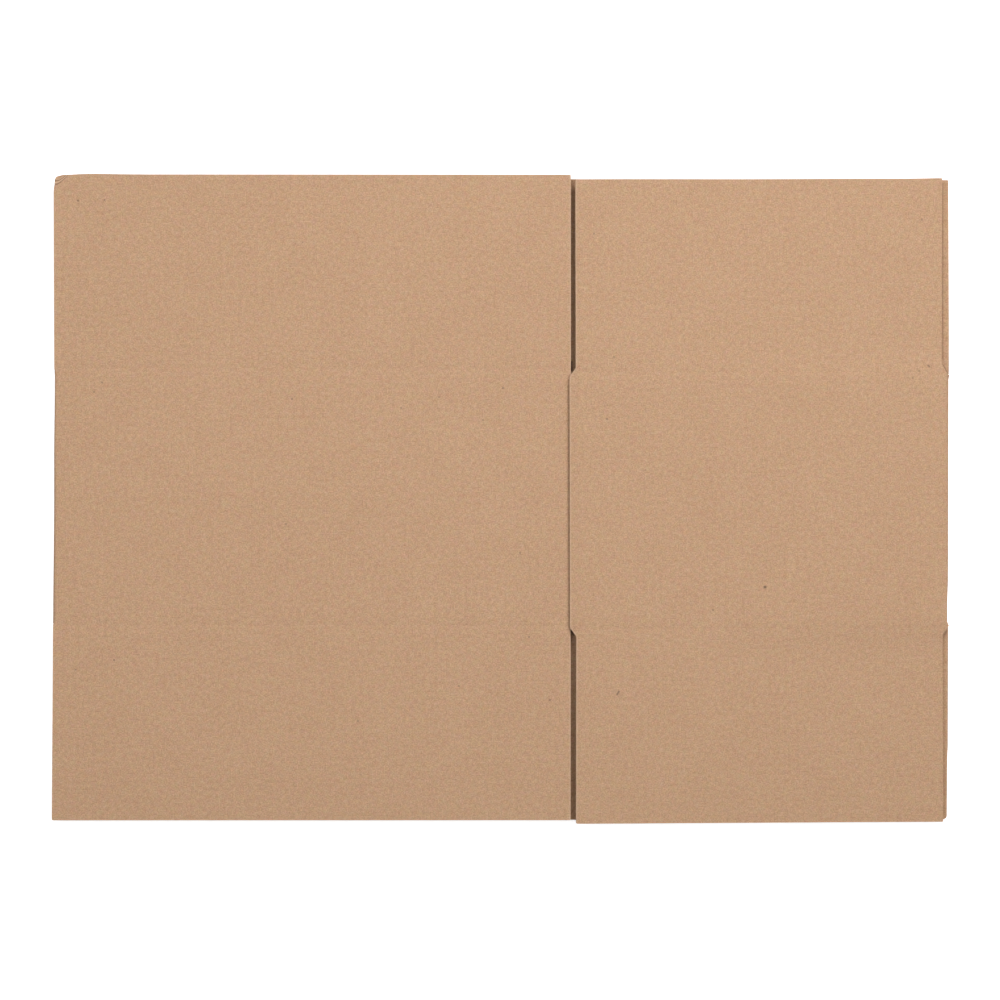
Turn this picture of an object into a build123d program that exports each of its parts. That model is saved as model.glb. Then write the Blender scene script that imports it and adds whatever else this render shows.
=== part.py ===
from build123d import *
import math
import os

# A slotted corrugated carton, glued and folded flat.
# One sheet runs from the glue lap over a long, a short, a long and a short panel, with a flap at
# both ends of each panel. Folded flat, the first long panel and the last short panel lie on top,
# the other two lie below them, and two of the upright scores are the folded sides.
# Lengths are in millimetres. X runs along the folded sheet, Y along the flutes and Z upwards.

NODE = "folded_carton"

# Inside of the box when it stands open.
inside_length = 314.0
inside_width = 230.5
inside_depth = 150.0

# Corrugated board: two flat liners with a waved medium between them.
board = 3.0
liner = 0.3
medium = 0.3
flute_pitch = 6.25
closed_margin = 2.0

# Half widths of an air channel at its liner, midway and under the crest, in flute pitches.
channel_foot_share = 0.41
channel_flank_share = 0.235
channel_crown_share = 0.09

# Flaps, the slots that part them and their corners.
flap_allowance = 2.9
slot_overrun = 1.35
long_flap_setback = 2.35
lap_side_setback = 0.1
short_flap_setback = 6.45
root_chamfer_width = 3.8
root_chamfer_length = 5.2
free_flap_closing = 0.55
corner_radius = 0.6
crushed_corner_radius = 2.4

# Scores pressed into both faces of the board.
score_width = 3.0
score_floor_width = 1.0
score_depth = 0.15

# Glue lap under the free edge of the last short panel.
lap_width = 35.0
lap_end_inset = 4.0
lap_slant = 9.0
free_edge_overlap = 1.0
glue_squeeze = 0.1

# The two folded sides, where the board is crushed and turned back on itself.
fold_wall = 1.8
fold_corner_radius = 1.5
fold_corner_angle = 60.0
left_fold_gap = 0.8
right_fold_gap = 1.2

# How squarely the sheet was folded, in degrees.
long_panel_skew = 0.17
short_panel_skew = 0.32

# Overlaps that join neighbouring solids, and the reach of a cutting solid past the board.
joint_overlap = 1.0
fold_end_overlap = 0.1
fold_step = 0.03
cutter_reach = 5.0
edge_tolerance = 0.01

# Sheet sizes that follow from the box and the board.
long_panel = inside_length + board
short_panel = inside_width + board
body_height = inside_depth + 2 * board
flap_length = inside_width / 2 + flap_allowance
sheet_height = body_height + 2 * flap_length
half_height = sheet_height / 2
slot_end = body_height / 2 - slot_overrun


class FoldShape:
    """Outer form of a folded side: tight corners joined by a flatter side, all tangent."""

    def __init__(self, gap):
        self.height = 2 * board + gap
        half = self.height / 2
        angle = math.radians(fold_corner_angle)
        self.corner = min(fold_corner_radius, 0.9 * half)
        self.side = self.corner + (half - self.corner) / math.cos(angle)
        self.depth = self.side - (self.side - self.corner) * math.sin(angle)
        outer_liner = self.corner * angle + self.side * (math.pi / 2 - angle)
        # The liner is longer round the fold than the fold is deep, so each panel loses this much.
        self.loss = outer_liner - self.depth


left_fold = FoldShape(left_fold_gap)
right_fold = FoldShape(right_fold_gap)

# Places along X, measured from the outermost line of the left fold.
folded_width = long_panel + short_panel - left_fold.loss - right_fold.loss
lower_score = short_panel - left_fold.loss
lap_score = long_panel - left_fold.loss
right_score = folded_width + right_fold.loss
free_edge = lap_score - free_edge_overlap
long_flap_left = long_flap_setback - left_fold.loss
long_flap_right = lap_score - lap_side_setback
lower_short_left = short_flap_setback - left_fold.loss
lower_short_right = lower_score - short_flap_setback
lower_long_left = lower_score + long_flap_setback
lower_long_right = right_score - long_flap_setback
upper_short_left = free_edge + root_chamfer_width
upper_short_right = right_score - short_flap_setback
lap_edge = lap_score + lap_width

# Heights of the undersides of the upper layer.
long_panel_base = board + left_fold_gap
free_edge_base = long_panel_base + board - glue_squeeze
right_fold_base = board + right_fold_gap + fold_step
right_fold_root = folded_width - right_fold.depth
short_panel_tilt = math.degrees(
    math.asin((free_edge_base - right_fold_base) / (right_fold_root - free_edge))
)


def channel_wire(centre, opens_up):
    """Closed outline of one air channel, wide at its liner and narrow under the medium's crest."""
    low = liner
    high = board - liner - medium
    middle = (low + high) / 2
    right_side = [(channel_foot_share, low), (channel_flank_share, middle), (channel_crown_share, high)]
    outline = right_side + [(-share, z) for share, z in reversed(right_side)]
    if opens_up:
        outline = [(share, board - z) for share, z in outline]
    points = [(centre + share * flute_pitch, -half_height, z) for share, z in outline]
    return Wire.make_polygon(points, close=True)


def channel_wires(start, end):
    """Channels of a panel between two flap edges, behind the closed margins at both edges."""
    clear = end - start - 2 * closed_margin
    count = int(clear / flute_pitch)
    first = (start + end) / 2 - (count - 1) * flute_pitch / 2
    below = [channel_wire(first + i * flute_pitch, False) for i in range(count)]
    above = [channel_wire(first + (i + 0.5) * flute_pitch, True) for i in range(count - 1)]
    return below + above


def fluted_board(start, end, panels):
    """A length of board over the whole sheet height, with the flutes of each panel in it."""
    corners = [(start, 0), (end, 0), (end, board), (start, board)]
    outline = Wire.make_polygon([(x, -half_height, z) for x, z in corners], close=True)
    channels = [wire for panel in panels for wire in channel_wires(*panel)]
    return Solid.extrude(Face(outline, channels), Vector(0, sheet_height, 0))


def cutter(points):
    """A prism on a plan outline that passes through the whole board."""
    outline = Wire.make_polygon([(x, y, -cutter_reach) for x, y in points], close=True)
    return Solid.extrude(Face(outline), Vector(0, 0, board + 2 * cutter_reach))


def slots(long_edge, short_edge, taper=0.0):
    """The two slots between a long and a short flap, each with a chamfer at the short flap's root."""
    outside = half_height + cutter_reach
    towards_short = math.copysign(1, short_edge - long_edge)
    root = slot_end + root_chamfer_length
    tip = short_edge - towards_short * taper * (outside - root) / (half_height - root)
    outline = [
        (long_edge, slot_end),
        (long_edge, outside),
        (tip, outside),
        (short_edge, root),
        (short_edge - towards_short * root_chamfer_width, slot_end),
    ]
    return [cutter([(x, side * y) for x, y in outline]) for side in (1, -1)]


def fold_cutback(start, end):
    """Clears the board between the slots where a folded side takes its place."""
    return cutter([(start, -slot_end), (end, -slot_end), (end, slot_end), (start, slot_end)])


def score_cutters(start, end, along, vertical=False):
    """Shallow presses into both faces, across the flutes or along them."""
    half_top = score_width / 2
    half_floor = score_floor_width / 2
    slope = (half_top - half_floor) / score_depth
    reach = half_top + slope * score_depth
    profile = [(-half_floor, score_depth), (half_floor, score_depth)]
    profile += [(reach, -score_depth), (-reach, -score_depth)]
    cuts = []
    for flip in (False, True):
        heights = [(offset, board - depth if flip else depth) for offset, depth in profile]
        if vertical:
            points = [(along + offset, start, z) for offset, z in heights]
            direction = Vector(0, end - start, 0)
        else:
            points = [(start, along + offset, z) for offset, z in heights]
            direction = Vector(end - start, 0, 0)
        cuts.append(Solid.extrude(Face(Wire.make_polygon(points, close=True)), direction))
    return cuts


def flap_scores(start, end):
    """The scores on which a panel's two flaps turn."""
    return [
        cut
        for side in (1, -1)
        for cut in score_cutters(start - cutter_reach, end + cutter_reach, side * body_height / 2)
    ]


def flap_corners(panel):
    """The upright edges at the outer corners of the flaps."""
    uprights = panel.edges().filter_by(Axis.Z)
    at_ends = [edge for edge in uprights if abs(edge.center().Y) > half_height - edge_tolerance]
    return [edge for edge in at_ends if edge.length > board - edge_tolerance]


def round_corners(panel):
    """Rounds the outer corners of every flap."""
    return panel.fillet(corner_radius, flap_corners(panel))


def upper_left(corners):
    """The corner that lies furthest up and to the left."""
    return max(corners, key=lambda edge: edge.center().Y - edge.center().X)


def round_and_crush_corners(panel):
    """Rounds the flaps' outer corners, with a larger radius on the knocked one at the upper left."""
    corners = flap_corners(panel)
    corners.remove(upper_left(corners))
    panel = panel.fillet(corner_radius, corners)
    return panel.fillet(crushed_corner_radius, [upper_left(flap_corners(panel))])


def lower_layer():
    """The short panel on the left and the long panel on the right, flat and side by side."""
    start = 0.0
    end = lower_long_right
    panels = [(lower_short_left, lower_short_right), (lower_long_left, lower_long_right)]
    sheet = fluted_board(start, end, panels)
    cuts = slots(start - cutter_reach, lower_short_left)
    cuts += slots(lower_long_left, lower_short_right)
    cuts.append(fold_cutback(start - cutter_reach, left_fold.depth))
    cuts.append(fold_cutback(right_fold_root, end + cutter_reach))
    cuts += flap_scores(start, end)
    cuts += score_cutters(-slot_end, slot_end, lower_score, vertical=True)
    return round_corners(sheet.cut(*cuts))


def upper_long_panel():
    """The first long panel, turned a little about the middle of the left fold."""
    start = long_flap_left
    end = lap_score + joint_overlap
    panel = fluted_board(start, end, [(long_flap_left, long_flap_right)])
    cuts = [fold_cutback(start - cutter_reach, left_fold.depth)]
    for side in (1, -1):
        inner = side * slot_end
        outer = side * (half_height + cutter_reach)
        edge = long_flap_right
        beyond = end + cutter_reach
        cuts.append(cutter([(edge, inner), (beyond, inner), (beyond, outer), (edge, outer)]))
    cuts += flap_scores(start, end)
    panel = round_and_crush_corners(panel.cut(*cuts))
    return Pos(0, 0, long_panel_base) * Rot(0, 0, long_panel_skew) * panel


def upper_short_panel():
    """The last short panel with the glue lap below its free edge, sloping down to the right fold."""
    start = free_edge
    end = folded_width
    panel = fluted_board(start, end, [(upper_short_left, upper_short_right)])
    cuts = slots(start - cutter_reach, upper_short_left, free_flap_closing)
    cuts += slots(end + cutter_reach, upper_short_right)
    cuts.append(fold_cutback(right_fold_root, end + cutter_reach))
    cuts += flap_scores(start, end)
    panel = round_corners(panel.cut(*cuts))
    glued = panel.fuse(glue_lap())
    to_pivot = Pos(-right_fold_root, 0, 0)
    turn = Rot(0, short_panel_tilt, 0) * Rot(0, 0, short_panel_skew)
    return Pos(right_fold_root, 0, right_fold_base) * turn * to_pivot * glued


def glue_lap():
    """The lap, one board below the short panel that it is glued to, with slanted ends."""
    start = lap_score
    root = slot_end - lap_end_inset
    tip = root - lap_slant
    outside = half_height + cutter_reach
    lap = fluted_board(start, lap_edge, [(start + joint_overlap, lap_edge)])
    outline = [(start, root), (lap_edge, tip), (lap_edge, outside), (start, outside)]
    ends = [cutter([(x, side * y) for x, y in outline]) for side in (1, -1)]
    return Pos(0, 0, -board) * lap.cut(*ends)


def folded_side(shape):
    """A crushed fold whose outermost line is at X = 0 and whose ends reach into the two layers."""
    height = shape.height
    middle = height / 2
    reach = shape.depth + joint_overlap
    hollow = middle - fold_wall
    turn = fold_corner_angle
    start_plane = Plane(origin=(0, slot_end + fold_end_overlap, 0), x_dir=(1, 0, 0), z_dir=(0, -1, 0))
    with BuildSketch(start_plane) as section:
        with BuildLine():
            Line((reach, 0), (shape.depth, 0))
            CenterArc((shape.depth, shape.corner), shape.corner, 270, -turn)
            CenterArc((shape.side, middle), shape.side, 270 - turn, 2 * turn - 180)
            CenterArc((shape.depth, height - shape.corner), shape.corner, 90 + turn, -turn)
            Line((shape.depth, height), (reach, height))
            Line((reach, height), (reach, height - fold_wall))
            Line((reach, height - fold_wall), (fold_wall + hollow, height - fold_wall))
            CenterArc((fold_wall + hollow, middle), hollow, 90, 180)
            Line((fold_wall + hollow, fold_wall), (reach, fold_wall))
            Line((reach, fold_wall), (reach, 0))
        make_face()
    return Solid.extrude(section.sketch.face(), Vector(0, -2 * (slot_end + fold_end_overlap), 0))


def folded_carton():
    """The whole sheet as one solid, standing on Z = 0 with its middle over the origin."""
    left_side = folded_side(left_fold)
    right_side = Pos(folded_width, 0, 0) * mirror(folded_side(right_fold), Plane.YZ)
    sheet = lower_layer().fuse(left_side, right_side, upper_long_panel(), upper_short_panel())
    box = sheet.bounding_box()
    return Pos(-box.center().X, -box.center().Y, -box.min.Z) * sheet


os.makedirs("parts", exist_ok=True)
carton = folded_carton()
print(NODE, "solids", len(carton.solids()), "volume", round(carton.volume))
export_step(carton, f"parts/{NODE}.step")
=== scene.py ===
"""The looks of a slotted corrugated carton, glued and folded flat.

The script makes the carton as it is made in a box plant. A wide sheet of fluted board is cut on a
die to the blank's outline, scored, folded shut on two of its upright scores and dressed in kraft
paper. Lengths are in millimetres until the finished mesh is handed to Blender, which takes metres.
"""

from __future__ import annotations

import logging
import math
from collections.abc import Callable
from dataclasses import dataclass, field
from enum import IntEnum
from typing import NamedTuple

import bmesh
import bpy
import numpy as np
from mathutils import Euler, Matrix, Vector

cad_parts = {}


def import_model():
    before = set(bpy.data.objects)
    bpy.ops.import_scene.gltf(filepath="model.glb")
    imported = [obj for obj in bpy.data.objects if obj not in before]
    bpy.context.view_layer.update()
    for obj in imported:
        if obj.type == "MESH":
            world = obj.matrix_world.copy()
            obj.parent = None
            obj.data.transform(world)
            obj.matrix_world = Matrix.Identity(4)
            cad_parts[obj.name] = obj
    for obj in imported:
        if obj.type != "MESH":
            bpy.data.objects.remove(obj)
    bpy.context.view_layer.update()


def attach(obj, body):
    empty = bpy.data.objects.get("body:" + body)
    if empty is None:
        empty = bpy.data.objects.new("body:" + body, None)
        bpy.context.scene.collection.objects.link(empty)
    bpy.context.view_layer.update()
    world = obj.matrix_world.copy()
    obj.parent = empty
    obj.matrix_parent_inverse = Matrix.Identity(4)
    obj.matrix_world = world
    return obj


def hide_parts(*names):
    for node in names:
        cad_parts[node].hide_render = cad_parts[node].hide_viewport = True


MM = 0.001
NODE = "folded_carton"
BODY = "root"
TOLERANCE = 0.01

Pair = tuple[float, float]
Triple = tuple[float, float, float]
Colour = tuple[float, float, float, float]

log = logging.getLogger("carton")


def smooth_step(value: np.ndarray, start: float, end: float) -> np.ndarray:
    """Rise smoothly from 0 at start to 1 at end.

    Args:
        value: Numbers to map.
        start: Where the rise begins.
        end: Where the rise is complete.

    Returns:
        Numbers between 0 and 1.
    """
    share = np.clip((value - start) / (end - start), 0.0, 1.0)
    return share * share * (3.0 - 2.0 * share)


class Numbers:
    """What a formula needs to be worked out on arrays. Graph has the same for shader values."""

    at_least = staticmethod(np.maximum)
    cosine = staticmethod(np.cos)
    rise = staticmethod(smooth_step)


def placed(name: str, data: bpy.types.ID) -> bpy.types.Object:
    """Put an object into the scene.

    Args:
        name: The object's name.
        data: Its mesh, lamp or camera.

    Returns:
        The object.
    """
    made = bpy.data.objects.new(name, data)
    bpy.context.collection.objects.link(made)
    return made


def as_mesh(name: str, shape: bmesh.types.BMesh) -> bpy.types.Mesh:
    """Turn a closed shape into a mesh, with its faces turned outwards.

    Args:
        name: The mesh's name.
        shape: The shape, which is freed.

    Returns:
        The mesh.
    """
    bmesh.ops.recalc_face_normals(shape, faces=shape.faces)
    mesh = bpy.data.meshes.new(name)
    shape.to_mesh(mesh)
    shape.free()
    return mesh


class Face(IntEnum):
    """What a face of the board is, which is also its material slot."""

    OUTER = 0
    INNER = 1
    RAW = 2


class Places(NamedTuple):
    """Points of a panel in millimetres: away from its score, along the flutes and below the liner."""

    run: np.ndarray
    height: np.ndarray
    depth: np.ndarray


@dataclass(frozen=True)
class Board:
    """Single-wall corrugated board: two flat liners with a waved medium between them."""

    thickness: float = 3.0
    liner: float = 0.3
    medium: float = 0.3
    pitch: float = 6.25
    foot_share: float = 0.41
    arch_shares: tuple[float, ...] = (0.30, 0.19, 0.07)

    def arch(self, share: float) -> float:
        """Depth of the medium's face below the outer liner, at a share of a pitch from the trough.

        Args:
            share: Distance from the middle of the channel, in flute pitches.

        Returns:
            Depth from the board's outer face in millimetres.
        """
        swing = (self.thickness - 2 * self.liner - self.medium) / 2
        phase = 2 * math.pi * share
        slope = 2 * math.pi * swing / self.pitch * math.sin(phase)
        middle = self.thickness / 2 + swing * math.cos(phase)
        return middle - self.medium / 2 * math.hypot(1.0, slope)

    def channel(self, centre: float, outer: bool) -> list[Pair]:
        """Closed outline of one air channel.

        Args:
            centre: Place of the channel's middle along the sheet.
            outer: True where the channel's foot is the outer liner.

        Returns:
            Points (place along the sheet, depth from the outer face), foot first.
        """
        half = [(self.foot_share, self.liner)]
        half += [(share, self.arch(share)) for share in self.arch_shares]
        shape = half + [(-share, depth) for share, depth in reversed(half)]
        if not outer:
            shape = [(share, self.thickness - depth) for share, depth in shape]
        return [(centre + share * self.pitch, depth) for share, depth in shape]


@dataclass(frozen=True)
class Flap:
    """The cuts of one flap, with the small errors that a slotter leaves.

    The roots and tips are how far the flap's two edges stand back from the panel's scores there. A
    reach is how much a corner stands out beyond the sheet's nominal half height. A chamfer has a
    width and a height. A worn end is how far points stand back from the end corner, both ways.
    """

    start_root: float
    start_tip: float
    end_root: float
    end_tip: float
    start_reach: float = 0.0
    end_reach: float = 0.0
    start_chamfer: Pair = (0.0, 0.0)
    end_chamfer: Pair = (0.0, 0.0)
    end_shift: float = 0.0
    radius: float = 0.6
    worn_end: tuple[Pair, ...] = ()


@dataclass(frozen=True)
class Blank:
    """The die-cut blank, measured along the sheet from the score that becomes the left fold.

    The first long panel and the glue lap lie at negative places, the short, the long and the last
    short panel at positive ones.
    """

    long_panel: float = 317.0
    short_panel: float = 233.5
    body_height: float = 156.0
    flap_length: float = 118.15
    slot_overrun: float = 1.35
    free_overlap: float = 0.8
    lap_width: float = 35.0
    lap_inset: float = 4.0
    lap_slant: float = 9.0
    corner_steps: int = 4
    lap_side_band: float = 1.0
    free_edge_band: float = 5.7
    chamfer: Pair = (3.8, 5.2)
    tall_chamfer: Pair = (3.8, 7.0)
    knocked_corner: tuple[Pair, ...] = (
        (0.05, 11.0), (0.2, 8.6), (0.68, 6.3), (0.77, 3.7), (1.65, 1.7), (4.1, 0.95),
        (6.5, 0.5), (11.4, 0.36), (16.3, 0.04), (24.0, -0.22), (40.0, 0.02), (58.0, 0.1),
    )
    sheared_end: tuple[Pair, ...] = (
        (0.0, 0.7), (0.2, 0.2), (0.7, 0.0), (9.0, -0.03), (27.0, -0.14), (45.0, -0.19), (100.0, -0.3),
        (118.0, -0.4), (137.0, -0.52), (155.0, -0.7), (203.0, -0.88), (216.0, -1.15), (221.0, -1.28),
    )
    pushed_corner: tuple[Pair, ...] = (
        (-0.45, 46.0), (0.0, 40.0), (0.2, 3.0), (0.9, 1.8), (1.8, 1.3), (7.0, 0.9), (12.0, 0.0),
    )
    far_flaps: tuple[Flap, ...] = (
        Flap(0.2, 0.38, 3.02, 2.35, 0.42, -0.12, radius=0.4, worn_end=knocked_corner),
        Flap(6.45, 6.45, 6.45, 6.45, start_chamfer=chamfer, end_chamfer=chamfer),
        Flap(2.35, 2.35, 1.95, 2.78, -1.05, 0.1),
        Flap(6.85, 6.0, -0.15, -0.15, 0.9, -0.4, tall_chamfer, chamfer, -1.0, worn_end=sheared_end),
    )
    near_flaps: tuple[Flap, ...] = (
        Flap(0.27, 0.27, 2.65, 2.38, 0.28, -0.13),
        Flap(6.45, 6.45, 6.45, 6.45, -0.5, -0.55, start_chamfer=chamfer, end_chamfer=chamfer),
        Flap(2.35, 2.35, 2.05, 2.45, -0.63, 0.15, worn_end=pushed_corner),
        Flap(6.6, 6.6, -0.15, -0.52, 0.1, -0.05, chamfer, chamfer, 0.4),
    )

    @property
    def half_height(self) -> float:
        """Half of the sheet's height, from mid sheet to the flaps' ends."""
        return self.body_height / 2 + self.flap_length

    @property
    def slot_end(self) -> float:
        """Distance from mid sheet to the ends of the slots."""
        return self.body_height / 2 - self.slot_overrun

    @property
    def lap_score(self) -> float:
        """Place of the score between the glue lap and the first long panel."""
        return -self.long_panel

    @property
    def lap_edge(self) -> float:
        """Place of the glue lap's edge."""
        return self.lap_score - self.lap_width

    @property
    def middle_score(self) -> float:
        """Place of the flat score between the two lower panels."""
        return self.short_panel

    @property
    def right_score(self) -> float:
        """Place of the score that becomes the right fold."""
        return self.short_panel + self.long_panel

    @property
    def free_edge(self) -> float:
        """Place of the last short panel's cut edge, which lies on the glue lap."""
        return self.right_score + self.short_panel + self.free_overlap

    def flaps(self, above: bool) -> list[tuple[float, float, Flap]]:
        """The four flaps above or below mid sheet.

        Args:
            above: True for the flaps on the far side.

        Returns:
            Places of the panel's two sides and the flap between them, in order along the sheet.
        """
        flaps = self.far_flaps if above else self.near_flaps
        end = self.free_edge - self.chamfer[0]
        scores = (self.lap_score, 0.0, self.middle_score, self.right_score, end)
        return list(zip(scores, scores[1:], flaps, strict=False))

    def rounded(self, corner: np.ndarray, before: np.ndarray, after: np.ndarray, radius: float) -> list:
        """Replace a corner that is almost square by a short arc.

        Args:
            corner: The corner point.
            before: The point before it on the outline.
            after: The point after it on the outline.
            radius: Radius of the arc.

        Returns:
            Points along the arc.
        """
        back = (before - corner) / np.linalg.norm(before - corner)
        ahead = (after - corner) / np.linalg.norm(after - corner)
        centre = corner + (back + ahead) * radius
        angles = np.linspace(0.0, math.pi / 2, self.corner_steps + 1)
        return [centre - ahead * radius * math.cos(a) - back * radius * math.sin(a) for a in angles]

    def flap_outline(self, start: float, end: float, flap: Flap) -> list[np.ndarray]:
        """Outline of one flap above mid sheet, from its start to its end along the sheet.

        Args:
            start: Place of the panel's side where the flap starts.
            end: Place of the panel's side where it ends.
            flap: The flap's cuts.

        Returns:
            Points of the outline.
        """
        points = []
        start_edge, end_edge = start + flap.start_root, end - flap.end_root
        if flap.start_chamfer[0]:
            points.append((start_edge - flap.start_chamfer[0], self.slot_end))
        points.append((start_edge, self.slot_end + flap.start_chamfer[1]))
        start_tip = np.array((start + flap.start_tip, self.half_height + flap.start_reach))
        end_tip = np.array((end - flap.end_tip, self.half_height + flap.end_reach))
        slot_end = self.slot_end + flap.end_shift
        end_root = np.array((end_edge, slot_end + flap.end_chamfer[1]))
        points += self.rounded(start_tip, np.array(points[-1]), end_tip, flap.radius)
        if flap.worn_end:
            points += [end_tip - np.array(worn) for worn in flap.worn_end[::-1]]
        else:
            points += self.rounded(end_tip, start_tip, end_root, flap.radius)
        points.append(end_root)
        if flap.end_chamfer[0]:
            points.append((end_edge + flap.end_chamfer[0], slot_end))
        return [np.array(point) for point in points]

    def side_outline(self, above: bool) -> np.ndarray:
        """Outline on one side of mid sheet, from the glue lap's edge to the free edge.

        Args:
            above: True for the far side.

        Returns:
            Points, one a row.
        """
        root = self.slot_end - self.lap_inset
        score = self.lap_score
        points = [(self.lap_edge, root - self.lap_slant), (score, root), (score, self.slot_end)]
        for start, end, flap in self.flaps(above):
            points += self.flap_outline(start, end, flap)
        return np.array(points) if above else np.array(points) * (1, -1)

    def outline(self) -> np.ndarray:
        """The whole outline, one point a row, anticlockwise."""
        return np.concatenate([self.side_outline(False), self.side_outline(True)[::-1]])

    def rim_distance(self, flat: np.ndarray, at_gap: bool) -> np.ndarray:
        """Distance from points of the flat sheet to the nearest cut edge of one kind.

        Args:
            flat: Points of the sheet, one a row.
            at_gap: True for the edges that face each other on top of the folded carton.

        Returns:
            Distances in millimetres.
        """
        points = self.outline()
        nearest = np.full(len(flat), np.inf)
        for start, end in zip(points, np.roll(points, -1, axis=0), strict=True):
            middle = (start + end)[0] / 2
            by_lap = abs(middle - self.lap_score) < self.lap_side_band
            near_gap = by_lap or middle > self.free_edge - self.free_edge_band
            along = end - start
            if near_gap != at_gap or not along.any():
                continue
            share = np.clip(((flat[:, :2] - start) @ along) / (along @ along), 0.0, 1.0)
            gap = flat[:, :2] - start - share[:, None] * along
            nearest = np.minimum(nearest, np.hypot(gap[:, 0], gap[:, 1]))
        return nearest


@dataclass(frozen=True)
class Knock:
    """Two creases that fan out from a knocked corner, in millimetres.

    They run round the corner from the panel's side to the flap's tip, where they come closer. A
    roundness of 2 would make them arcs, and 1 straight lines. A turn is 0 beside the fold and 1 at
    the tip. The creases start and stop at phases of their wave, which grow away from the corner.
    The board is bent along them, and the paper's colour takes painted shade in their valleys and
    painted highlight on their ridges.
    """

    inset: float = 2.35
    tip: float = Blank().half_height
    first: float = 3.7
    spread: float = 4.4
    spacing: float = 3.2
    closing: float = 3.4
    least: float = 1.2
    core: float = 0.1
    roundness: float = 1.6
    starts: Pair = (-0.85, -0.3)
    stops: Pair = (1.0, 1.35)
    board_fade: Pair = (0.86, 0.98)
    # Where the creases' painted shade and highlight fade out and start.
    painted_fade: Pair = (0.9, 1.0)
    painted_start: Pair = (2.0, 2.8)

    def wave(self, maths: type[Numbers] | Graph, run: object, height: object, fade: Pair) -> tuple:
        """The wave of the creases, the same for the board's shape and for the painted shade and highlight
        in its colour.

        Args:
            maths: What works the formula out.
            run: Distances from the left fold's score, as an array or a shader value.
            height: Places along the flutes, of the same kind.
            fade: The turns between which the creases die out.

        Returns:
            The wave, 1 in a valley and -1 on a ridge, and the distance from the corner.
        """
        across = maths.at_least(run - self.inset, 0.0)
        down = maths.at_least(self.tip - height, 0.0)
        radius = (across**self.roundness + down**self.roundness) ** (1 / self.roundness)
        turn = across / maths.at_least(across + down, self.core)
        spacing = maths.at_least(self.spacing - turn * self.closing, self.least)
        phase = (radius - self.first - turn * self.spread) / spacing
        window = maths.rise(phase, *self.starts) * (1 - maths.rise(phase, *self.stops))
        return maths.cosine(phase * (2 * math.pi)) * window * (1 - maths.rise(turn, *fade)), radius


@dataclass(frozen=True)
class CrushedFold:
    """Section of a folded side: two tight corners joined by a flatter side, all tangent.

    Its line is drawn in unevenly: each pair is a place along the flutes and how far it stands back
    there. The flaps beside it come free of it between two distances beyond the slots' ends and
    between two distances from the score.
    """

    height: float
    wall: float = 1.8
    corner: float = 1.5
    turn: float = math.radians(60.0)
    drawn_in: tuple[Pair, ...] = ((0.0, 0.0),)
    draw_length: float = 9.0
    freed: Pair = (-0.9, 0.4)
    freed_run: Pair = (0.8, 2.2)
    recovery: float = 4.0
    shear_length: float = 24.0
    board: float = Board.thickness

    @property
    def side(self) -> float:
        """Radius of the flatter side."""
        return self.corner + (self.height / 2 - self.corner) / math.cos(self.turn)

    @property
    def depth(self) -> float:
        """Distance from the outermost line to where the panels are flat."""
        return self.side - (self.side - self.corner) * math.sin(self.turn)

    @property
    def wrap(self) -> float:
        """Length of outer liner from the score to where a panel is flat."""
        return self.corner * self.turn + self.side * (math.pi / 2 - self.turn)

    @property
    def loss(self) -> float:
        """How much of a panel's length goes round the fold."""
        return self.wrap - self.depth

    def outer(self, run: np.ndarray) -> tuple[np.ndarray, np.ndarray, np.ndarray]:
        """Follow the outer liner away from the score.

        Args:
            run: Distances from the score.

        Returns:
            Distance inwards from the outermost line, height above mid fold, and angle turned.
        """
        bend = math.pi / 2 - self.turn
        side_length = self.side * bend
        on_side = np.minimum(run, side_length) / self.side
        on_corner = np.clip((run - side_length) / self.corner, 0.0, self.turn)
        angle = on_side + on_corner
        half = self.height / 2
        inwards = np.where(
            run <= side_length,
            self.side * (1 - np.cos(angle)),
            self.depth - self.corner * np.cos(angle) + np.maximum(run - self.wrap, 0.0),
        )
        above = np.where(
            run <= side_length,
            self.side * np.sin(angle),
            half - self.corner + self.corner * np.sin(angle),
        )
        return inwards, above, angle

    def section(self, run: np.ndarray, depth: np.ndarray) -> tuple[np.ndarray, np.ndarray]:
        """Place points of the board round the fold.

        Args:
            run: Distances from the score along the outer liner.
            depth: Depths below the outer liner of the flat board.

        Returns:
            Distance inwards from the outermost line, and height above mid fold.
        """
        inwards, above, angle = self.outer(run)
        hollow = self.height / 2 - self.wall
        past = np.maximum(run - self.wrap, 0.0)
        thickness = self.wall + (self.board - self.wall) * smooth_step(past, 0.0, self.recovery)
        shear = (self.wall + hollow - self.depth) * (1 - smooth_step(past, 0.0, self.shear_length))
        inner_in = np.where(run < self.wrap, self.wall + hollow * (1 - np.cos(angle)), inwards + shear)
        inner_up = np.where(run < self.wrap, hollow * np.sin(angle), self.height / 2 - thickness)
        share = depth / self.board
        return inwards + (inner_in - inwards) * share, above + (inner_up - above) * share


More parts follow.
